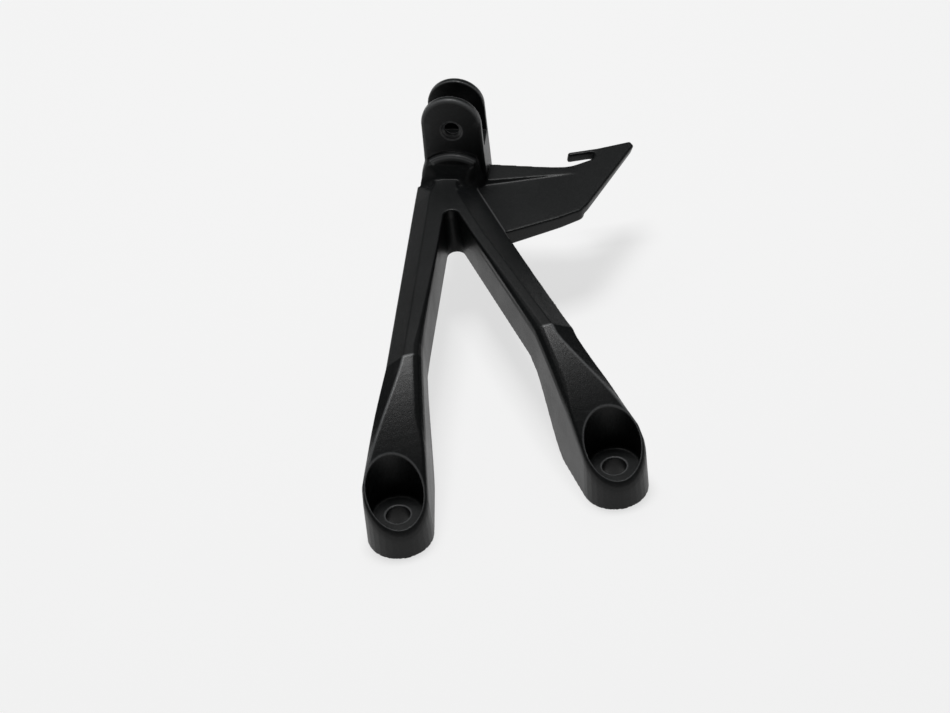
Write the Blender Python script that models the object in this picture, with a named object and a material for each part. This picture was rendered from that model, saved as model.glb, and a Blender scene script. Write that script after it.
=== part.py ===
"""Motorcycle footrest hanger: one satin black aluminium casting.

Frame: X along the line through the two frame bolts, Y from the bolts towards the clevis, Z along the
bolts, away from the motorcycle. The feet stand on the plane z = 0. All lengths are in metres. The
casting is shaped with its origin midway between the bolts, then moved so that the origin lies on the
left foot's flat face.
"""
import math

import bmesh
import bpy
from mathutils import Matrix, Vector

# Frame bolts and the two bosses they clamp
BOLT_SPACING = 0.081
BOLT_HOLE = 0.009
HEAD_SEAT = 0.018
SEAT_LAND = 0.0105
SEAT_FILLET = 0.0008
CUP_TAPER = math.radians(2.5)
BOSS_RADIUS = 0.0119
WALL_DRAFT = 0.0004
FOOT_POINT = (-BOLT_SPACING / 2.0, 0.0105, 0.0)

# Heights of the casting above the mounting plane
RIDGE_Z = 0.048
UNDERSIDE_Z = 0.0298
RIM_LOW_Z = 0.0117
HEEL_Y = 0.0178
HEEL_TOP_Y = 0.048

# Ramps from the ridge down to the bolt cups: one arc, the same for both legs
CREASE_Y = 0.0415
RAMP_TURN = math.radians(26.0)

# Plan of the two legs: each side line as slope, x at one y, that y, and the y where it flares to the boss
LEFT_OUTER = (0.326, -0.0382, 0.0250, 0.0415)
LEFT_INNER = (0.338, -0.0205, 0.0395, 0.0500)
RIGHT_INNER = (-0.140, 0.0238, 0.0389, 0.0415)
RIGHT_OUTER = (-0.127, 0.0377, 0.0372, 0.0370)
FORK_RADIUS = 0.0030
FORK_ROOT_RADIUS = 0.0040
NECK_LEFT_Y = 0.1475
NECK_RIGHT_Y = 0.1430
NECK_LEFT_STEPS = (0.0315, 0.0205, 0.0120)
NECK_RIGHT_STEPS = (0.0105, 0.0190, 0.0280)

# Edge forms of the legs
BEVEL_SLOPE = 0.58
LEFT_BEVEL = 0.0069
RIGHT_BEVEL_LOW = 0.0071
RIGHT_BEVEL_HIGH = 0.0104
RIGHT_BEVEL_HIGH_Y = 0.105
RIM_EDGE = 0.0013
INNER_EDGE = 0.0016
EDGE_DEPTH = 0.0040
BEVEL_START_Y = 0.002
BEVEL_SHARP_RUN = 0.012

# Clevis for the footrest pin
CLEVIS_TURN = math.radians(21.5)
CLEVIS_AT = (0.0178, 0.1473)
CLEVIS_DRAFT = 0.0007
EAR_THICKNESS = 0.0032
SLOT_WIDTH = 0.0109
PIN_Z = 0.0673
PIN_HOLE = 0.0062
PIN_RECESS = 0.0084
PIN_RECESS_DEPTH = 0.0007
CLEVIS_LOW_Z = 0.0315
EAR_TOP_Z = 0.0820
EAR_HALF_WIDTH = 0.0121
EAR_ROOT_HALF_WIDTH = 0.0125
EAR_ROOT_Z = 0.046
SLOT_FLOOR_Z = 0.0583
EAR_RIM = 0.0010

# Neck between the legs and the clevis: an arched lip, and a saddle with a cove between two shoulders
LIP_RADIUS = 0.0160
LIP_SPREAD = math.radians(36.0)
LIP_Z = 0.0575
LIP_PROUD = 0.0034
LIP_ROUND = 0.0018
LIP_FOOT_Z = 0.0400
LIP_SHIFT = -0.0003
SADDLE_BASE_Z = 0.0386
# Cross-sections in the clevis frame: y, then (x, z) over left foot, left shoulder, left crest, cove
# (three points), right crest, right slope and right foot
SADDLE = (
    (-0.0095, ((-0.0140, 0.0435), (-0.0104, 0.0452), (-0.0066, 0.0466), (-0.0036, 0.0470), (0.0000, 0.0466),
               (0.0030, 0.0451), (0.0056, 0.0436), (0.0080, 0.0420), (0.0100, 0.0402))),
    (-0.0066, ((-0.0138, 0.0448), (-0.0104, 0.0470), (-0.0064, 0.0483), (-0.0040, 0.0477), (0.0000, 0.0476),
               (0.0026, 0.0475), (0.0044, 0.0468), (0.0070, 0.0435), (0.0090, 0.0416))),
    (-0.0053, ((-0.0135, 0.0464), (-0.0108, 0.0488), (-0.0075, 0.0508), (-0.0050, 0.0496), (0.0000, 0.0493),
               (0.0030, 0.0494), (0.0052, 0.0494), (0.0070, 0.0446), (0.0092, 0.0417))),
    (-0.0042, ((-0.0133, 0.0474), (-0.0110, 0.0506), (-0.0084, 0.0526), (-0.0060, 0.0519), (0.0000, 0.0516),
               (0.0044, 0.0518), (0.0065, 0.0514), (0.0074, 0.0456), (0.0096, 0.0418))),
    (-0.0026, ((-0.0131, 0.0494), (-0.0113, 0.0524), (-0.0093, 0.0538), (-0.0066, 0.0534), (0.0000, 0.0532),
               (0.0060, 0.0532), (0.0085, 0.0528), (0.0090, 0.0470), (0.0106, 0.0419))),
    (0.0008, ((-0.0124, 0.0520), (-0.0112, 0.0536), (-0.0096, 0.0546), (-0.0066, 0.0536), (0.0000, 0.0532),
              (0.0060, 0.0536), (0.0092, 0.0544), (0.0108, 0.0486), (0.0120, 0.0422))),
    (0.0050, ((-0.0120, 0.0520), (-0.0108, 0.0536), (-0.0096, 0.0546), (-0.0066, 0.0536), (0.0000, 0.0532),
              (0.0060, 0.0536), (0.0092, 0.0530), (0.0108, 0.0470), (0.0120, 0.0422))),
)
SADDLE_STEPS = 3

# Side arm with the hook
ARM_Z = 0.0415
ARM_THICKNESS = 0.0040
ARM_EDGE = 0.0008
ARM_LEAN = 0.0011
ARM_LEAN_X = 0.0600
ARM_LEAN_RUN = 0.0120
FLANGE_Z = 0.0360
FLANGE_TOP_Z = 0.0394
FLANGE_WIDTH = 0.0045
FLANGE_X = 0.0550
FLANGE_RISE = 0.050
FACET_RISE = 0.0018
FACET_STEP = 0.0014

ARC_STEPS = 12
ROUND_STEPS = 48


def lerp(a, b, t):
    return a + (b - a) * t


def clamp01(t):
    return max(0.0, min(1.0, t))


def smooth(t):
    t = clamp01(t)
    return t * t * (3.0 - 2.0 * t)


def side_line(line, y):
    """X of a leg's side line at y."""
    slope, x0, y0, _ = line
    return x0 + slope * (y - y0)


def arc_points(cx, cy, radius, start, end, steps):
    return [(cx + radius * math.cos(lerp(start, end, i / steps)),
             cy + radius * math.sin(lerp(start, end, i / steps))) for i in range(steps + 1)]


def round_corners(corners, steps=4):
    """Outline with an arc at each corner; a corner is (x, y, radius) and radius 0 keeps it sharp."""
    outline = []
    count = len(corners)
    for i in range(count):
        x, y, radius = corners[i]
        here = Vector((x, y))
        if radius <= 0.0:
            outline.append((x, y))
            continue
        back = (Vector(corners[i - 1][:2]) - here).normalized()
        on = (Vector(corners[(i + 1) % count][:2]) - here).normalized()
        half = back.angle(on) / 2.0
        centre = here + (back + on).normalized() * (radius / math.sin(half))
        first = here + back * (radius / math.tan(half)) - centre
        last = here + on * (radius / math.tan(half)) - centre
        swing = first.angle_signed(last)
        for k in range(steps + 1):
            point = Vector(first)
            point.rotate(Matrix.Rotation(-swing * k / steps, 2))
            outline.append((centre.x + point.x, centre.y + point.y))
    return outline


def inset(outline, distance):
    """Outline moved inwards by distance; the outline runs anticlockwise."""
    moved = []
    count = len(outline)
    for i in range(count):
        a, b, c = (Vector(outline[k % count]) for k in (i - 1, i, i + 1))
        n1 = Vector((a.y - b.y, b.x - a.x)).normalized()
        n2 = Vector((b.y - c.y, c.x - b.x)).normalized()
        q = b + (n1 + n2) * (distance / (1.0 + n1.dot(n2)))
        moved.append((q.x, q.y))
    return moved


def new_object(name, bm):
    mesh = bpy.data.meshes.new(name)
    bmesh.ops.recalc_face_normals(bm, faces=bm.faces)
    bm.to_mesh(mesh)
    bm.free()
    obj = bpy.data.objects.new(name, mesh)
    bpy.context.scene.collection.objects.link(obj)
    return obj


def revolve(name, profile, steps=ROUND_STEPS):
    """Solid of revolution about Z; the profile is (radius, z) from bottom to top."""
    bm = bmesh.new()
    rings = []
    for radius, z in profile:
        rings.append([bm.verts.new((radius * math.cos(2 * math.pi * k / steps),
                                    radius * math.sin(2 * math.pi * k / steps), z)) for k in range(steps)])
    bm.faces.new(rings[0])
    bm.faces.new(rings[-1])
    for low, high in zip(rings, rings[1:]):
        for k in range(steps):
            m = (k + 1) % steps
            bm.faces.new((low[k], low[m], high[m], high[k]))
    return new_object(name, bm)


def soft_prism(name, outline, low, high, radius_low, radius_high, taper=0.0, steps=3):
    """Prism whose end faces have rounded rims; taper narrows it towards low. Outline anticlockwise."""
    levels = []
    for k in range(steps + 1):
        a = math.pi / 2.0 * k / steps
        levels.append((radius_low * (1.0 - math.sin(a)), low + radius_low * (1.0 - math.cos(a))))
    for k in range(steps + 1):
        a = math.pi / 2.0 * (1.0 - k / steps)
        levels.append((radius_high * (1.0 - math.sin(a)), high - radius_high * (1.0 - math.cos(a))))
    if radius_low <= 0.0:
        levels = [(0.0, low)] + levels[steps + 1:]
    if radius_high <= 0.0:
        levels = levels[:-(steps + 1)] + [(0.0, high)]
    bm = bmesh.new()
    rings = []
    for shift, z in levels:
        shift += taper * (high - z) / (high - low)
        rings.append([bm.verts.new((x, y, z)) for x, y in inset(outline, shift)])
    bm.faces.new(rings[0])
    bm.faces.new(rings[-1])
    count = len(outline)
    for bottom, top in zip(rings, rings[1:]):
        for i in range(count):
            j = (i + 1) % count
            bm.faces.new((bottom[i], bottom[j], top[j], top[i]))
    return new_object(name, bm)


def hull(name, points):
    bm = bmesh.new()
    for p in points:
        bm.verts.new(p)
    result = bmesh.ops.convex_hull(bm, input=bm.verts)
    loose = [v for v in result["geom_interior"] if isinstance(v, bmesh.types.BMVert)]
    if loose:
        bmesh.ops.delete(bm, geom=loose, context="VERTS")
    return new_object(name, bm)


def combine(target, tool, operation):
    """Boolean of target with tool; the tool is used up."""
    modifier = target.modifiers.new("combine", "BOOLEAN")
    modifier.operation = operation
    modifier.object = tool
    modifier.solver = "EXACT"
    bpy.context.view_layer.update()
    graph = bpy.context.evaluated_depsgraph_get()
    mesh = bpy.data.meshes.new_from_object(target.evaluated_get(graph))
    target.modifiers.clear()
    old = target.data
    target.data = mesh
    bpy.data.meshes.remove(old)
    bpy.data.objects.remove(tool)


def ramp_circle():
    """Centre (y, z) and radius of the ramp arc in side view."""
    y0, z0 = -BOSS_RADIUS + RIM_EDGE, RIM_LOW_Z
    y1, z1 = CREASE_Y, RIDGE_Z
    chord = math.hypot(y1 - y0, z1 - z0)
    rise = math.atan2(z1 - z0, y1 - y0)
    radius = chord / (2.0 * math.sin(RAMP_TURN / 2.0))
    drop = radius * math.cos(RAMP_TURN / 2.0)
    return (y0 + y1) / 2.0 + drop * math.sin(rise), (z0 + z1) / 2.0 - drop * math.cos(rise), radius


RAMP = ramp_circle()


def top_z(y):
    if y >= CREASE_Y:
        return RIDGE_Z
    cy, cz, radius = RAMP
    return cz + math.sqrt(radius * radius - (y - cy) ** 2)


def underside_z(y):
    """Foot, heel rising to the arch, then the flat underside of the legs."""
    if y <= HEEL_Y:
        return 0.0
    t = (y - HEEL_Y) / (HEEL_TOP_Y - HEEL_Y)
    if t >= 1.0:
        return UNDERSIDE_Z
    return UNDERSIDE_Z * smooth(t)


def tangent_y(px, py, cx, side):
    """Y of the point where the line from (px, py) touches the boss circle on the given side (-1 left)."""
    dx, dy = px - cx, py
    distance = math.hypot(dx, dy)
    base = math.atan2(dy, dx)
    swing = math.acos(BOSS_RADIUS / distance)
    angle = base - side * swing
    return BOSS_RADIUS * math.sin(angle), cx + BOSS_RADIUS * math.cos(angle)


def wall_x(y, line, cx, side):
    """X of a leg wall at belt height: leg line, flare and boss circle."""
    flare_y = line[3]
    if y >= flare_y:
        return side_line(line, y)
    px = side_line(line, flare_y)
    ty, tx = tangent_y(px, flare_y, cx, side)
    if y >= ty:
        return lerp(tx, px, (y - ty) / (flare_y - ty))
    return cx + side * math.sqrt(max(BOSS_RADIUS ** 2 - y * y, 0.0))


def bevel_share(y):
    """0 at the round rim of the boss, 1 where the outer bevel has its full width."""
    return smooth((y - BEVEL_START_Y) / (CREASE_Y - BEVEL_START_Y))


def outer_edge(y, left):
    """Width of the outer bevel at y."""
    if left:
        full = LEFT_BEVEL
    else:
        full = lerp(RIGHT_BEVEL_LOW, RIGHT_BEVEL_HIGH,
                    clamp01((y - CREASE_Y) / (RIGHT_BEVEL_HIGH_Y - CREASE_Y)))
    return lerp(RIM_EDGE, full, bevel_share(y))


def outer_drop(y, left):
    return lerp(EDGE_DEPTH, outer_edge(y, left) * BEVEL_SLOPE, bevel_share(y))


ROUND = ((0.0, 1.0), (0.12, 0.55), (0.42, 0.18), (1.0, 0.0))
FLAT = ((0.0, 1.0), (0.03, 0.96), (0.97, 0.03), (1.0, 0.0))


def edge_ring(index, y, outer):
    """Fractions of edge width and depth for one ring: round at the boss, a flat bevel along the leg."""
    w = smooth((y - BEVEL_START_Y) / BEVEL_SHARP_RUN) if outer else 0.0
    a, b = ROUND[index], FLAT[index]
    return lerp(a[0], b[0], w), lerp(a[1], b[1], w)


LEG_SHARES = (10 / 67, 26 / 67, 42 / 67, 56 / 67)


def leg_stations():
    """Y values along a leg from the boss to the fork; negative ones lie on the round front."""
    front = [-BOSS_RADIUS * math.cos(math.radians(a)) for a in (0, 12, 24, 36, 48, 60, 72, 82)]
    back = [0.0, 0.004, 0.008, 0.012, 0.015, HEEL_Y, 0.0200, 0.0225, 0.0255, 0.0285, 0.0315, 0.0345, 0.0380,
            CREASE_Y, HEEL_TOP_Y]
    leg_run = NECK_RIGHT_Y - NECK_RIGHT_STEPS[-1] - HEEL_TOP_Y
    return front + back + [HEEL_TOP_Y + leg_run * share for share in LEG_SHARES]


def fork_arc(radius, offset):
    """Arc joining the two inner leg walls, from the left wall to the right one."""
    ls, lx, ly, _ = LEFT_INNER
    rs, rx, ry, _ = RIGHT_INNER
    y = (lx - ls * ly - rx + rs * ry) / (rs - ls)
    x = side_line(LEFT_INNER, y)
    la, ra = math.atan(ls), math.atan(rs)
    half = (la - ra) / 2.0
    lean = (la + ra) / 2.0
    distance = radius / math.sin(half)
    cx, cy = x - distance * math.sin(lean), y - distance * math.cos(lean)
    return arc_points(cx, cy, radius + offset, math.pi - la, -ra, ARC_STEPS)


def body_rings():
    """Rings of matching points from the underside to the ridge, each as a closed list of (x, y, z)."""
    ys = leg_stations()
    half = BOLT_SPACING / 2.0

    def side_points(ring, cx, side, line, outer, left):
        points = []
        for y in ys:
            if ring < 0:
                shift = -WALL_DRAFT
                drop = None
            else:
                width = outer_edge(y, left) if outer else lerp(RIM_EDGE, INNER_EDGE, smooth(y / CREASE_Y))
                depth = outer_drop(y, left) if outer else EDGE_DEPTH
                f, h = edge_ring(ring, y, outer)
                shift, drop = width * f, depth * h
            if y < 0.0:
                scale = (BOSS_RADIUS - shift) / BOSS_RADIUS
                x = cx + side * math.sqrt(max(BOSS_RADIUS ** 2 - y * y, 0.0)) * scale
                yy = y * scale
            else:
                x = wall_x(y, line, cx, side) - side * shift
                yy = y
            z = underside_z(yy) if drop is None else top_z(yy) - drop
            points.append((x, yy, z))
        return points

    rings = []
    for ring in range(-1, 4):
        left_outer = side_points(ring, -half, -1, LEFT_OUTER, True, True)
        left_inner = side_points(ring, -half, 1, LEFT_INNER, False, True)
        right_inner = side_points(ring, half, -1, RIGHT_INNER, False, False)
        right_outer = side_points(ring, half, 1, RIGHT_OUTER, True, False)
        if ring < 0:
            radius, offset, z = FORK_ROOT_RADIUS, -WALL_DRAFT, UNDERSIDE_Z
        else:
            f, h = ROUND[ring]
            radius, offset, z = FORK_RADIUS, INNER_EDGE * f, RIDGE_Z - EDGE_DEPTH * h
        arc = [(x, y, z) for x, y in fork_arc(radius, offset)]
        rings.append((left_outer, left_inner, arc, right_inner, right_outer))
    return ys, rings


def neck_path(ring):
    """Points round the top of the neck, from the left leg's outer side to the right leg's."""
    left_ys = [NECK_LEFT_Y - step for step in NECK_LEFT_STEPS]
    right_ys = [NECK_RIGHT_Y - step for step in NECK_RIGHT_STEPS]
    steps = 8
    if ring < 0:
        shift_l = shift_r = -WALL_DRAFT
        z_l = z_r = UNDERSIDE_Z
    else:
        f, h = FLAT[ring]
        shift_l, shift_r = LEFT_BEVEL * f, RIGHT_BEVEL_HIGH * f
        z_l, z_r = RIDGE_Z - LEFT_BEVEL * BEVEL_SLOPE * h, RIDGE_Z - RIGHT_BEVEL_HIGH * BEVEL_SLOPE * h
    points = [(side_line(LEFT_OUTER, y) + shift_l, y, z_l) for y in left_ys]
    # apex: straight end wall below, rounded tip of the ridge on top
    base_l = Vector((side_line(LEFT_OUTER, NECK_LEFT_Y), NECK_LEFT_Y))
    base_r = Vector((side_line(RIGHT_OUTER, NECK_RIGHT_Y), NECK_RIGHT_Y))
    tip_l = Vector((side_line(LEFT_OUTER, left_ys[-1]) + LEFT_BEVEL, left_ys[-1]))
    tip_r = Vector((side_line(RIGHT_OUTER, right_ys[0]) - RIGHT_BEVEL_HIGH, right_ys[0]))
    centre = (tip_l + tip_r) / 2.0
    across = (tip_r - tip_l) / 2.0
    along = Vector((-across.y, across.x)) * 1.05
    f = 0.0 if ring < 0 else FLAT[ring][0]
    for i in range(1, steps):
        t = i / steps
        low = base_l.lerp(base_r, (t - 1.0 / steps) / (1.0 - 2.0 / steps))
        a = math.pi * (1.0 - t)
        high = centre + across * math.cos(a) + along * math.sin(a)
        q = low.lerp(high, f)
        points.append((q.x, q.y, lerp(z_l, z_r, t)))
    points += [(side_line(RIGHT_OUTER, y) - shift_r, y, z_r) for y in right_ys]
    return points


def build_body():
    ys, rings = body_rings()
    necks = [neck_path(r) for r in range(-1, 4)]
    bm = bmesh.new()
    grid = []
    for (lo, li, arc, ri, ro), neck in zip(rings, necks):
        loop = [bm.verts.new(p) for p in reversed(lo)]
        front_l = loop[-1]
        li_v = [front_l] + [bm.verts.new(p) for p in li[1:]]
        arc_v = [bm.verts.new(p) for p in arc]
        ri_v = [bm.verts.new(p) for p in ri]
        front_r = ri_v[0]
        ro_v = [front_r] + [bm.verts.new(p) for p in ro[1:]]
        neck_v = [bm.verts.new(p) for p in neck]
        closed = loop + li_v[1:] + arc_v + list(reversed(ri_v)) + ro_v[1:] + list(reversed(neck_v))
        grid.append((closed, list(reversed(loop)), li_v, arc_v, ri_v, ro_v, neck_v))
    for low, high in zip(grid, grid[1:]):
        a, b = low[0], high[0]
        for i in range(len(a)):
            j = (i + 1) % len(a)
            bm.faces.new((a[i], a[j], b[j], b[i]))
    for level in (grid[0], grid[-1]):
        _, lo, li, arc, ri, ro, neck = level
        for outer, inner in ((lo, li), (ro, ri)):
            for k in range(len(ys) - 1):
                quad = [outer[k], outer[k + 1], inner[k + 1], inner[k]]
                if quad[0] is quad[3]:
                    quad = quad[:3]
                bm.faces.new(quad)
        bm.faces.new([lo[-1], li[-1]] + arc + [ri[-1], ro[-1]] + list(reversed(neck)))
    bm.normal_update()
    bmesh.ops.triangulate(bm, faces=[f for f in bm.faces if len(f.verts) > 4])
    return new_object("footrest_hanger", bm)


def clevis_matrix():
    """Local frame of the clevis: x across the ears, y along the pin from the near ear's face, z up."""
    return Matrix.Translation((CLEVIS_AT[0], CLEVIS_AT[1], 0.0)) @ Matrix.Rotation(-CLEVIS_TURN, 4, "Z")


def upright(name, outline, near, far, rim_near=0.0, rim_far=0.0, taper=0.0):
    """Prism with a front-view outline (x, z), running from near to far along local y."""
    obj = soft_prism(name, outline, -far, -near, rim_far, rim_near, taper)
    obj.data.transform(Matrix.Rotation(math.pi / 2.0, 4, "X"))
    return obj


def ear_outline(low):
    """Front view (x, z) of the clevis from its foot at height low: drafted sides and a round top."""
    centre_z = EAR_TOP_Z - EAR_HALF_WIDTH
    draft = (EAR_ROOT_HALF_WIDTH - EAR_HALF_WIDTH) / (centre_z - EAR_ROOT_Z)
    foot = EAR_HALF_WIDTH + draft * (centre_z - low)
    top = arc_points(0.0, centre_z, EAR_HALF_WIDTH, 0.0, math.pi, 2 * ARC_STEPS)
    return [(foot, low)] + top + [(-foot, low)]


def build_clevis(body):
    depth = 2.0 * EAR_THICKNESS + SLOT_WIDTH
    ears = upright("ears", ear_outline(CLEVIS_LOW_Z), 0.0, depth, EAR_RIM, EAR_RIM, CLEVIS_DRAFT)
    reach = 2.0 * EAR_ROOT_HALF_WIDTH
    slot = upright("slot", [(-reach, SLOT_FLOOR_Z), (reach, SLOT_FLOOR_Z), (reach, 2.0 * EAR_TOP_Z),
                            (-reach, 2.0 * EAR_TOP_Z)], EAR_THICKNESS, EAR_THICKNESS + SLOT_WIDTH)
    combine(ears, slot, "DIFFERENCE")
    pin = revolve("pin_hole", ((PIN_RECESS / 2.0, -PIN_RECESS_DEPTH),
                               (PIN_RECESS / 2.0, 0.75 * PIN_RECESS_DEPTH),
                               (PIN_RECESS / 2.0 - 0.25 * PIN_RECESS_DEPTH, PIN_RECESS_DEPTH),
                               (PIN_HOLE / 2.0 + 0.35 * PIN_RECESS_DEPTH, PIN_RECESS_DEPTH),
                               (PIN_HOLE / 2.0, 1.35 * PIN_RECESS_DEPTH),
                               (PIN_HOLE / 2.0, depth + PIN_RECESS_DEPTH)))
    pin.data.transform(Matrix.Translation((0.0, 0.0, PIN_Z)) @ Matrix.Rotation(-math.pi / 2.0, 4, "X"))
    combine(ears, pin, "DIFFERENCE")
    ears.data.transform(clevis_matrix())
    combine(body, ears, "UNION")


def refine(points, steps):
    """Points with a smooth cubic run between each pair; the run passes through the given points."""
    count = len(points)
    refined = []
    for i in range(count - 1):
        a, b = points[i], points[i + 1]
        before = points[i - 1] if i > 0 else a * 2.0 - b
        after = points[i + 2] if i + 2 < count else b * 2.0 - a
        for k in range(steps):
            t = k / steps
            refined.append(0.5 * (2.0 * a + (b - before) * t + (2.0 * before - 5.0 * a + 4.0 * b - after) * t * t
                                  + (3.0 * a - before - 3.0 * b + after) * t * t * t))
    refined.append(points[-1])
    return refined


def build_saddle():
    """Smooth surface through the cross-sections, closed by walls down to a flat base."""
    rows = [[Vector((x, y, z)) for x, z in section] for y, section in SADDLE]
    rows = [refine(row, SADDLE_STEPS) for row in rows]
    columns = [refine([row[m] for row in rows], SADDLE_STEPS) for m in range(len(rows[0]))]
    bm = bmesh.new()
    grid = [[bm.verts.new(p) for p in column] for column in columns]
    for left, right in zip(grid, grid[1:]):
        for k in range(len(left) - 1):
            bm.faces.new((left[k], right[k], right[k + 1], left[k + 1]))
    rim = [column[0] for column in grid] + grid[-1][1:] + [column[-1] for column in reversed(grid[:-1])]
    rim += list(reversed(grid[0][1:-1]))
    foot = [bm.verts.new((v.co.x, v.co.y, SADDLE_BASE_Z)) for v in rim]
    for k in range(len(rim)):
        m = (k + 1) % len(rim)
        bm.faces.new((rim[k], rim[m], foot[m], foot[k]))
    bm.faces.new(foot)
    bm.normal_update()
    bmesh.ops.triangulate(bm, faces=bm.faces)
    return new_object("saddle", bm)


def build_neck(body):
    """Saddle between the legs and the ears, with the arched lip in front of the near ear."""
    local = clevis_matrix()
    saddle = build_saddle()
    saddle.data.transform(local)
    combine(body, saddle, "UNION")
    arch = arc_points(LIP_SHIFT, LIP_Z - LIP_RADIUS, LIP_RADIUS, math.pi / 2.0 - LIP_SPREAD,
                      math.pi / 2.0 + LIP_SPREAD, ARC_STEPS)
    arch = [(arch[0][0], LIP_FOOT_Z)] + arch + [(arch[-1][0], LIP_FOOT_Z)]
    lip = upright("lip", arch, -LIP_PROUD, 0.5 * EAR_THICKNESS, LIP_ROUND, 0.0)
    lip.data.transform(local)
    combine(body, lip, "UNION")


FRONT_EDGE = ((0.0190, 0.1079, 0.0), (0.0294, 0.1091, 0.0), (0.0516, 0.1115, 0.030), (0.0608, 0.1135, 0.0035))


def arm_corners():
    """Corners (x, y, corner radius) of the arm, anticlockwise from its root at the right leg."""
    return list(FRONT_EDGE) + [
        (0.0648, 0.1170, 0.006), (0.0926, 0.1488, 0.0012), (0.0920, 0.1519, 0.0010), (0.0780, 0.1517, 0.020),
        (0.0655, 0.1529, 0.0009), (0.0655, 0.1508, 0.0009), (0.0764, 0.1499, 0.0013), (0.0745, 0.1454, 0.0024),
        (0.0640, 0.1432, 0.012), (0.0350, 0.1534, 0.003), (0.0300, 0.1568, 0.0), (0.0190, 0.1568, 0.0)]


def build_arm(body):
    arm = soft_prism("arm", round_corners(arm_corners()), ARM_Z - ARM_THICKNESS, ARM_Z, ARM_EDGE, ARM_EDGE)
    # the wall under the outer edge leans inwards
    for vertex in arm.data.vertices:
        if vertex.co.z < ARM_Z - ARM_THICKNESS / 2.0:
            vertex.co.x -= ARM_LEAN * clamp01((vertex.co.x - ARM_LEAN_X) / ARM_LEAN_RUN)
    # flange below the front edge
    back = [(x, y + FLANGE_WIDTH, 0.0) for x, y, _ in reversed(FRONT_EDGE)]
    back[0] = (back[0][0] - 0.002, back[0][1], 0.002)
    flange = soft_prism("flange", round_corners(list(FRONT_EDGE) + [(0.0628, 0.1160, 0.0012)] + back),
                        FLANGE_Z, FLANGE_TOP_Z, ARM_EDGE, 0.0)
    for vertex in flange.data.vertices:
        vertex.co.z += FLANGE_RISE * (vertex.co.x - FLANGE_X)
    combine(arm, flange, "UNION")
    # facet that rises from the arm's middle towards the clevis
    rim = ((0.0200, 0.1445, 1.0), (0.0273, 0.1434, 1.0), (0.0660, 0.1376, 0.0), (0.0665, 0.1408, 0.0),
           (0.0352, 0.1524, 1.0), (0.0250, 0.1560, 1.0))
    points = [(x, y, ARM_Z + FACET_RISE * rise) for x, y, rise in rim]
    points += [(x, y, ARM_Z - ARM_EDGE) for x, y, _ in rim]
    points += [(x, y - FACET_STEP * rise, ARM_Z - 0.0002) for x, y, rise in rim[:3]]
    combine(arm, hull("facet", points), "UNION")
    combine(body, arm, "UNION")


def cut_bolt_seats(body):
    top = 0.06
    wall = HEAD_SEAT / 2 + SEAT_FILLET
    rise = top - SEAT_LAND - SEAT_FILLET
    for side in (-1, 1):
        profile = [(HEAD_SEAT / 2, SEAT_LAND)]
        for k in range(1, 5):
            a = math.radians(90.0 * k / 4)
            profile.append((HEAD_SEAT / 2 + SEAT_FILLET * math.sin(a), SEAT_LAND + SEAT_FILLET * (1 - math.cos(a))))
        profile.append((wall + rise * math.tan(CUP_TAPER), top))
        cup = revolve("cup", profile)
        cup.data.transform(Matrix.Translation((side * BOLT_SPACING / 2, 0, 0)))
        combine(body, cup, "DIFFERENCE")
        hole = revolve("hole", ((BOLT_HOLE / 2, -0.01), (BOLT_HOLE / 2, SEAT_LAND + 0.01)))
        hole.data.transform(Matrix.Translation((side * BOLT_SPACING / 2, 0, 0)))
        combine(body, hole, "DIFFERENCE")


def paint():
    material = bpy.data.materials.new("satin_black_paint")
    material.use_nodes = True
    shader = material.node_tree.nodes["Principled BSDF"]
    shader.inputs["Base Color"].default_value = (0.02, 0.021, 0.022, 1.0)
    shader.inputs["Roughness"].default_value = 0.42
    shader.inputs["Metallic"].default_value = 0.0
    return material


def build():
    for obj in list(bpy.data.objects):
        bpy.data.objects.remove(obj)
    body = build_body()
    cut_bolt_seats(body)
    build_neck(body)
    build_clevis(body)
    build_arm(body)
    body.data.materials.clear()
    body.data.materials.append(paint())
    bm = bmesh.new()
    bm.from_mesh(body.data)
    bmesh.ops.remove_doubles(bm, verts=bm.verts, dist=0.00002)
    bm.to_mesh(body.data)
    bm.free()
    body.data.transform(Matrix.Translation(-Vector(FOOT_POINT)))


build()
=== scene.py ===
"""Studio view of the motorcycle footrest hanger: finer casting, black paint, pale floor, soft light."""

import math

import bmesh
import bpy
import numpy as np
from mathutils.kdtree import KDTree
from mathutils import Matrix, Vector


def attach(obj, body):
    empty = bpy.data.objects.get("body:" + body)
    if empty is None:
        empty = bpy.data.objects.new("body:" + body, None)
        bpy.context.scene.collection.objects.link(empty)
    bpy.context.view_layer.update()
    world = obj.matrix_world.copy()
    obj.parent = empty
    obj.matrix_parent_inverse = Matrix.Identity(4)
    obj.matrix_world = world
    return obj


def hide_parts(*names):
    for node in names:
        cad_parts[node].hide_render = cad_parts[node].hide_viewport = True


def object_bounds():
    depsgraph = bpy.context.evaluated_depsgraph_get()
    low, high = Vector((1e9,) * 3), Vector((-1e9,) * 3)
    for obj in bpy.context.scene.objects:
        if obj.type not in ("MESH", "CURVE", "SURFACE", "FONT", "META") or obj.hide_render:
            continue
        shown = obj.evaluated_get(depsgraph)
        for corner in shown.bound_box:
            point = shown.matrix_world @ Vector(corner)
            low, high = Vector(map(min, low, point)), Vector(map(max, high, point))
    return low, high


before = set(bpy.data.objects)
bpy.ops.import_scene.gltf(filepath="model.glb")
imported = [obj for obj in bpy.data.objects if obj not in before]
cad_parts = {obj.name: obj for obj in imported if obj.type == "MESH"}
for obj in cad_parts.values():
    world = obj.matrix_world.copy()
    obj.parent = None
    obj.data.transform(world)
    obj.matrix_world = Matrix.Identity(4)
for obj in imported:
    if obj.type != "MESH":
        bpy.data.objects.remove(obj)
cad_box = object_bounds()

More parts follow.
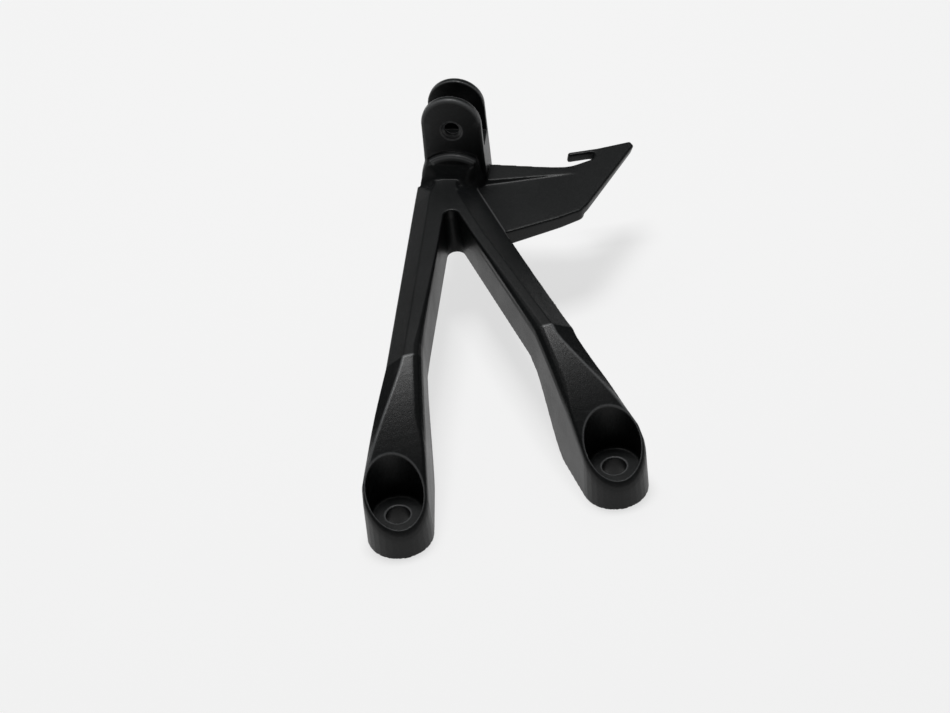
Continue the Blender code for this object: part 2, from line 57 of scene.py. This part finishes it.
# Camera: the photo's viewpoint, from a pinhole fit, in the row frame
EYE = Vector((-0.0565, -0.5770, 0.5663))
LOOK = Vector((0.1203, 0.7508, -0.6494))
CAMERA_UP = Vector((0.2105, 0.6200, 0.7558))
LENS = 83.37
SENSOR = 36.0
CLIP_START = 0.01

# Fine mesh of the casting
MERGE_WITHIN = 0.000005
VOXEL = 0.00036
SMOOTH_STEPS = 3
SMOOTH_FACTOR = 0.5
TRIANGLE_BUDGET = 190000

# Legs: flat ridge, crease, and the arc of the long faces as (y, z) ends and its turn
RIDGE_Z = 0.048
CREASE_Y = 0.0310
RAMP_ENDS = ((-0.0211, 0.0117), (0.0310, 0.0480))
RAMP_TURN = math.radians(26.0)
LEG_MIDDLE = 0.043

# Inner rim of the V: levels as (share of the depth, share of the width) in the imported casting
RIM_LEVELS = ((0.0, 1.0), (0.18, 0.42), (0.55, 0.12))
RIM_LEVEL_SLACK = 0.004
RIM_DEPTH = 0.0040
RIM_GAP = (0.0011, 0.0018)
RIM_RUN = (0.0, 0.135)
RIM_NARROW = 0.0013
RIM_WIDE = 0.0034
RIM_SHARP = 0.00035
RIM_WIDTHS = (1.0, 0.50, 0.16)
RIM_RISES = (0.0, 0.0004, 0.0013)
RIM_SOFT_RUN = (0.0, 0.010)
RIM_SHARP_RUN = (0.036, 0.066)

# Outer side of the right leg past the crease
FILL_PUSH = 0.0009
FILL_MIDDLE = 0.0285
FILL_REACH = 0.0135
FILL_ACROSS = (0.005, 0.014)
FILL_END = 0.095
INNER_SIDE = (0.0643, 0.0284, -0.14)

# Clevis and saddle: across and along are measured from its middle
SADDLE_AT = (0.0583, 0.1368)
CLEVIS_TURN = math.radians(21.5)
CLEVIS_HALF = 0.0115
CLEVIS_FRONT = -0.0068
EAR_ROOT_Z = 0.064
TIP_LOW_Z = 0.0465
TIP_ACROSS = ((-0.0085, -0.0068), (0.0010, 0.0030))
TIP_ALONG = ((-0.0130, -0.0120), (-0.0060, -0.0056))

# Painted highlight lines on sharp edges: how sharp the edges are, where they lie and which way they face
EDGE_BLUNT = math.radians(9.0)
EDGE_KEEN = math.radians(24.0)
EDGE_STEP = 0.00025
EDGE_FADE = 0.00075
CREASE_SLACK = 0.0005
CUP_PLACES = (0.0, 0.081)
CUP_MIDDLES = (-0.0108, -0.0070)
CUP_RADIUS = 0.0111
CUP_EDGE = math.radians(40.0)
UPRIGHT = 0.95
RAMP_EDGE_UP = 0.6
RAMP_EDGE_OUT = (-0.25, 0.10, 0.45)
LEG_EDGE_OUT = 0.5
LEG_EDGE_Y = 0.095
LEG_EDGE_X = (0.056, 0.080)
LIP_RUN = 0.75

# Paint
PAINT = (0.0050, 0.0057, 0.0059, 1.0)
PAINT_DUST = (0.0090, 0.0099, 0.0102, 1.0)
# Light grey of the painted highlight lines along sharp edges
PAINT_EDGE_HIGHLIGHT = (0.12, 0.123, 0.125, 1.0)
SPECULAR = 0.25
ROUGH_LOW = 0.36
ROUGH_HIGH = 0.42
EDGE_SHINE = 0.10
PATCH_SCALE = 60.0
DUST_SCALE = 900.0
GRAIN_SCALE = 2600.0
GRAIN_DEPTH = 0.00010
PEEL_SCALE = 750.0
PEEL_DEPTH = 0.00012

# Floor and light; a lamp is name, azimuth, elevation, distance, size, radiance
FLOOR_RADIUS = 12.0
FLOOR_GAP = 0.0002
FLOOR_COLOUR = (0.80, 0.80, 0.80, 1.0)
FLOOR_WHITE = 0.70
AIM = Vector((0.05, 0.07, 0.04))
LAMPS = (
    ("overhead", 0.0, 80.0, 1.4, (0.50, 0.50), 20.0),
    ("behind", 0.0, 52.0, 1.6, (1.30, 0.60), 0.8),
)
WHITE = (1.0, 1.0, 1.0, 1.0)
WORLD_STRENGTH = 0.04


def between(value, low, high):
    """How far a value is from low to high, kept between 0 and 1."""
    return min(max((value - low) / (high - low), 0.0), 1.0)


def fade(value, low, high):
    """0 below low, 1 above high, smooth between."""
    share = between(value, low, high)
    return share * share * (3.0 - 2.0 * share)


def add_object(name, data):
    made = bpy.data.objects.new(name, data)
    bpy.context.scene.collection.objects.link(made)
    return made


def add_camera():
    data = bpy.data.cameras.new("photo_camera")
    data.lens = LENS
    data.sensor_width = SENSOR
    data.sensor_fit = "HORIZONTAL"
    data.clip_start = CLIP_START
    camera = add_object("photo_camera", data)
    back = -LOOK.normalized()
    right = CAMERA_UP.cross(back).normalized()
    up = back.cross(right)
    turn = Matrix((right, up, back)).transposed().to_4x4()
    camera.matrix_world = Matrix.Translation(EYE) @ turn
    bpy.context.scene.camera = camera


def feed(tree, socket, value):
    """Links a socket to another node's output, or sets it to a constant."""
    if isinstance(value, bpy.types.NodeSocket):
        tree.links.new(value, socket)
    else:
        socket.default_value = value


def noise(tree, place, scale, detail, roughness=0.5):
    made = tree.nodes.new("ShaderNodeTexNoise")
    made.inputs["Scale"].default_value = scale
    made.inputs["Detail"].default_value = detail
    made.inputs["Roughness"].default_value = roughness
    tree.links.new(place, made.inputs["Vector"])
    return made.outputs["Fac"]


def ramp(tree, source, low, high, first, last):
    made = tree.nodes.new("ShaderNodeMapRange")
    made.inputs["From Min"].default_value = low
    made.inputs["From Max"].default_value = high
    made.inputs["To Min"].default_value = first
    made.inputs["To Max"].default_value = last
    tree.links.new(source, made.inputs["Value"])
    return made.outputs["Result"]


def mix_colour(tree, factor, first, second):
    made = tree.nodes.new("ShaderNodeMix")
    made.data_type = "RGBA"
    feed(tree, made.inputs["A"], first)
    feed(tree, made.inputs["B"], second)
    tree.links.new(factor, made.inputs["Factor"])
    return made.outputs["Result"]


def maths(tree, operation, *values):
    made = tree.nodes.new("ShaderNodeMath")
    made.operation = operation
    for socket, value in zip(made.inputs, values):
        feed(tree, socket, value)
    return made.outputs[0]


def bump(tree, height, strength, depth):
    made = tree.nodes.new("ShaderNodeBump")
    made.inputs["Strength"].default_value = strength
    made.inputs["Distance"].default_value = depth
    tree.links.new(height, made.inputs["Height"])
    return made


def black_paint():
    """Satin black paint over cast aluminium: orange peel, fine grain, a trace of dust, painted highlight
    lines on sharp edges.
    """
    material = bpy.data.materials.new("satin_black_paint_fine")
    material.use_nodes = True
    tree = material.node_tree
    shader = tree.nodes["Principled BSDF"]
    shader.inputs["Metallic"].default_value = 0.0
    shader.inputs["Specular IOR Level"].default_value = SPECULAR
    place = tree.nodes.new("ShaderNodeTexCoord").outputs["Object"]
    highlight_marks = tree.nodes.new("ShaderNodeAttribute")
    highlight_marks.attribute_name = "edge"
    edge = highlight_marks.outputs["Fac"]

    dust = ramp(tree, noise(tree, place, DUST_SCALE, 4.0, 0.65), 0.48, 0.72, 0.0, 1.0)
    tint = mix_colour(tree, dust, PAINT, PAINT_DUST)
    # The base colour turns light grey along the edge mask: a painted highlight line on sharp edges
    tree.links.new(mix_colour(tree, edge, tint, PAINT_EDGE_HIGHLIGHT), shader.inputs["Base Color"])
    patches = ramp(tree, noise(tree, place, PATCH_SCALE, 3.0), 0.35, 0.65, ROUGH_LOW, ROUGH_HIGH)
    gloss = maths(tree, "MULTIPLY_ADD", edge, -EDGE_SHINE, patches)
    tree.links.new(gloss, shader.inputs["Roughness"])

    grain = bump(tree, noise(tree, place, GRAIN_SCALE, 3.0, 0.6), 0.6, GRAIN_DEPTH)
    peel = bump(tree, noise(tree, place, PEEL_SCALE, 2.0), 0.30, PEEL_DEPTH)
    tree.links.new(grain.outputs["Normal"], peel.inputs["Normal"])
    tree.links.new(peel.outputs["Normal"], shader.inputs["Normal"])
    return material


def ramp_top(y):
    """Height of the long face above y: flat ridge, then the arc down to the cup."""
    if y >= CREASE_Y:
        return RIDGE_Z
    (y0, z0), (y1, z1) = RAMP_ENDS
    chord = math.hypot(y1 - y0, z1 - z0)
    rise = math.atan2(z1 - z0, y1 - y0)
    radius = chord / (2.0 * math.sin(RAMP_TURN / 2.0))
    drop = radius * math.cos(RAMP_TURN / 2.0)
    cy = (y0 + y1) / 2.0 + drop * math.sin(rise)
    cz = (z0 + z1) / 2.0 - drop * math.cos(rise)
    return cz + math.sqrt(max(radius * radius - (y - cy) ** 2, 0.0))


def rim_profile(y):
    """Distance from the wall of each level of the inner rim, and how far each level rises."""
    wide = RIM_NARROW + (RIM_WIDE - RIM_NARROW) * fade(y, *RIM_SOFT_RUN)
    sharp = between(y, *RIM_SHARP_RUN)
    top = wide + (RIM_SHARP - wide) * sharp
    return [top * share for share in RIM_WIDTHS], [rise * sharp for rise in RIM_RISES]


def shape_rim(bm):
    """Makes the inner rim crisp at the fork and broadly rounded beside the long faces."""
    depths = [(ramp_top(v.co.y) - v.co.z) / RIM_DEPTH for v in bm.verts]
    places = [(v.co.x, v.co.y) for v, depth in zip(bm.verts, depths)
              if abs(depth - 1.0) < RIM_LEVEL_SLACK and v.co.y > RIM_RUN[0]]
    for vertex, depth in zip(bm.verts, depths):
        if not RIM_RUN[0] < vertex.co.y < RIM_RUN[1]:
            continue
        for index, (level, share) in enumerate(RIM_LEVELS):
            if abs(depth - level) > RIM_LEVEL_SLACK:
                continue
            x, y = min(places, key=lambda p: (p[0] - vertex.co.x) ** 2 + (p[1] - vertex.co.y) ** 2)
            gap = math.hypot(vertex.co.x - x, vertex.co.y - y)
            if not RIM_GAP[0] * share < gap < RIM_GAP[1] * share:
                continue
            widths, rises = rim_profile(y)
            stretch = widths[index] / gap
            vertex.co.x = x + (vertex.co.x - x) * stretch
            vertex.co.y = y + (vertex.co.y - y) * stretch
            vertex.co.z += rises[index]


def fill_right_leg(bm):
    """Keeps the outer side of the right leg straight past the crease, as its outline in the photo is."""
    start_x, start_y, slope = INNER_SIDE
    for vertex in bm.verts:
        inner = start_x + slope * (vertex.co.y - start_y)
        along = fade(FILL_REACH - abs(vertex.co.y - FILL_MIDDLE), 0.0, FILL_REACH)
        if vertex.co.x < FILL_END:
            vertex.co.x += FILL_PUSH * along * between(vertex.co.x - inner, *FILL_ACROSS)


def saddle_place(point):
    """Where a point lies from the middle of the clevis: across it, and along it to the far ear."""
    dx, dy = point.x - SADDLE_AT[0], point.y - SADDLE_AT[1]
    return (dx * math.cos(CLEVIS_TURN) - dy * math.sin(CLEVIS_TURN),
            dx * math.sin(CLEVIS_TURN) + dy * math.cos(CLEVIS_TURN))


def edge_gets_highlight(place, angle, normal, direction):
    """Whether this edge gets a painted highlight line, chosen by its place and which way it faces: not
    on soft or hidden edges.
    """
    right = place.x > LEG_MIDDLE
    outwards = normal.x if right else -normal.x
    if place.y < CREASE_Y + CREASE_SLACK:
        cup_x = CUP_PLACES[right]
        if min(math.hypot(place.x - cup_x, place.y - y) for y in CUP_MIDDLES) < CUP_RADIUS:
            return angle > CUP_EDGE and abs(direction.z) < UPRIGHT
        least, clear, most = RAMP_EDGE_OUT
        on_crease = place.y > CREASE_Y - CREASE_SLACK
        return normal.z > RAMP_EDGE_UP and least < outwards < most and (outwards > clear or on_crease)
    across, along = saddle_place(place)
    if along < CLEVIS_FRONT:
        beside_arm = place.y > LEG_EDGE_Y and LEG_EDGE_X[0] < place.x < LEG_EDGE_X[1]
        return outwards > LEG_EDGE_OUT and beside_arm
    run = direction.x * math.cos(CLEVIS_TURN) - direction.y * math.sin(CLEVIS_TURN)
    return abs(across) < CLEVIS_HALF and (along > 0.0 or place.z > EAR_ROOT_Z or abs(run) > LIP_RUN)


def highlight_edge_points(bm):
    """Points along the sharp outward edges that get painted highlight lines, each with how sharp its
    edge is, 0 to 1.
    """
    found = []
    for edge in bm.edges:
        if len(edge.link_faces) != 2:
            continue
        angle = edge.calc_face_angle_signed()
        share = between(angle, EDGE_BLUNT, EDGE_KEEN)
        first, second = (vertex.co.copy() for vertex in edge.verts)
        normal = (edge.link_faces[0].normal + edge.link_faces[1].normal).normalized()
        direction = (second - first).normalized()
        if share <= 0.0 or not edge_gets_highlight((first + second) / 2.0, angle, normal, direction):
            continue
        steps = max(1, math.ceil((second - first).length / EDGE_STEP))
        found += [(first.lerp(second, index / steps), share) for index in range(steps + 1)]
    return found


def level_ridge_tip(mesh):
    """Carries the flat ridge on to the hollow of the saddle, where it ends in a crisp corner."""
    for vertex in mesh.vertices:
        if not TIP_LOW_Z < vertex.co.z < RIDGE_Z:
            continue
        share = 1.0
        for value, (starts, ends) in zip(saddle_place(vertex.co), (TIP_ACROSS, TIP_ALONG)):
            share *= fade(value, *starts) * (1.0 - fade(value, *ends))
        vertex.co.z += share * (RIDGE_Z - vertex.co.z)


def mark_edge_highlights(mesh, found):
    """Stores on each point the strength of the painted highlight line: how near a highlighted sharp edge
    is, 0 away from edges to 1 on a sharp one.
    """
    tree = KDTree(len(found))
    for index, (place, _) in enumerate(found):
        tree.insert(place, index)
    tree.balance()
    values = np.zeros(len(mesh.vertices), dtype=np.float32)
    for index, vertex in enumerate(mesh.vertices):
        close = tree.find_range(vertex.co, EDGE_FADE)
        shares = [found[number][1] * (1.0 - distance / EDGE_FADE) for _, number, distance in close]
        values[index] = max(shares, default=0.0)
    # The edge attribute is the mask of the painted highlight lines
    mesh.attributes.new("edge", "FLOAT", "POINT").data.foreach_set("value", values)


def apply_modifiers(piece):
    """Replaces a piece's mesh by what its modifiers make of it."""
    bpy.context.view_layer.update()
    graph = bpy.context.evaluated_depsgraph_get()
    made = bpy.data.meshes.new_from_object(piece.evaluated_get(graph))
    piece.modifiers.clear()
    piece.data = made
    return made


def fine_casting(source):
    """The casting with the small fillets and rounded edges a painted casting has."""
    mesh = source.data.copy()
    mesh.name = "hanger_casting"
    bm = bmesh.new()
    bm.from_mesh(mesh)
    bmesh.ops.remove_doubles(bm, verts=bm.verts, dist=MERGE_WITHIN)
    shape_rim(bm)
    fill_right_leg(bm)
    sharp = highlight_edge_points(bm)
    bm.to_mesh(mesh)
    bm.free()
    piece = add_object("hanger_casting", mesh)

    remesh = piece.modifiers.new("grain", "REMESH")
    remesh.mode = "VOXEL"
    remesh.voxel_size = VOXEL
    relax = piece.modifiers.new("relax", "SMOOTH")
    relax.factor = SMOOTH_FACTOR
    relax.iterations = SMOOTH_STEPS
    fine = apply_modifiers(piece)
    count = sum(len(polygon.vertices) - 2 for polygon in fine.polygons)
    if count > TRIANGLE_BUDGET:
        lighten = piece.modifiers.new("lighten", "DECIMATE")
        lighten.ratio = TRIANGLE_BUDGET / count
        fine = apply_modifiers(piece)
    for polygon in fine.polygons:
        polygon.use_smooth = True
    level_ridge_tip(fine)
    mark_edge_highlights(fine, sharp)
    fine.materials.clear()
    fine.materials.append(black_paint())
    return piece


def white_where_seen(tree, surface, share):
    """Mixes white into a surface for camera, glossy and transmission rays."""
    path = tree.nodes.new("ShaderNodeLightPath").outputs
    seen = maths(tree, "MAXIMUM", path["Is Camera Ray"], path["Is Glossy Ray"])
    seen = maths(tree, "MAXIMUM", seen, path["Is Transmission Ray"])
    glow = tree.nodes.new("ShaderNodeEmission")
    glow.inputs["Color"].default_value = WHITE
    glow.inputs["Strength"].default_value = 1.0
    mix = tree.nodes.new("ShaderNodeMixShader")
    tree.links.new(maths(tree, "MULTIPLY", seen, share), mix.inputs["Fac"])
    tree.links.new(surface, mix.inputs[1])
    tree.links.new(glow.outputs[0], mix.inputs[2])
    return mix.outputs[0]


def add_floor():
    bm = bmesh.new()
    bmesh.ops.create_circle(bm, cap_ends=True, segments=96, radius=FLOOR_RADIUS)
    mesh = bpy.data.meshes.new("floor")
    bm.to_mesh(mesh)
    bm.free()
    floor = add_object("floor", mesh)
    floor.location.z = cad_box[0].z - FLOOR_GAP
    material = bpy.data.materials.new("white_table")
    material.use_nodes = True
    tree = material.node_tree
    shader = tree.nodes["Principled BSDF"]
    shader.inputs["Base Color"].default_value = FLOOR_COLOUR
    shader.inputs["Roughness"].default_value = 0.9
    shader.inputs["Specular IOR Level"].default_value = 0.0
    seen = white_where_seen(tree, shader.outputs["BSDF"], FLOOR_WHITE)
    tree.links.new(seen, tree.nodes["Material Output"].inputs["Surface"])
    mesh.materials.append(material)


def add_lamp(name, azimuth, elevation, distance, size, radiance):
    """Area lamp that faces the object; azimuth 0 is behind it (+Y), 90 on its right (+X)."""
    data = bpy.data.lights.new(name, "AREA")
    data.shape = "RECTANGLE"
    data.size, data.size_y = size
    data.energy = radiance * math.pi * size[0] * size[1]
    lamp = add_object(name, data)
    a, e = math.radians(azimuth), math.radians(elevation)
    way = Vector((math.sin(a) * math.cos(e), math.cos(a) * math.cos(e), math.sin(e)))
    lamp.location = AIM + way * distance
    lamp.rotation_euler = way.to_track_quat("Z", "Y").to_euler()


def add_light():
    for lamp in LAMPS:
        add_lamp(*lamp)
    world = bpy.data.worlds.new("studio")
    bpy.context.scene.world = world
    world.use_nodes = True
    background = world.node_tree.nodes["Background"]
    background.inputs["Color"].default_value = WHITE
    background.inputs["Strength"].default_value = WORLD_STRENGTH


add_camera()
casting = fine_casting(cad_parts["footrest_hanger"])
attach(casting, "root")
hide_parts("footrest_hanger")
add_floor()
add_light()
bpy.context.scene.view_settings.view_transform = "Standard"
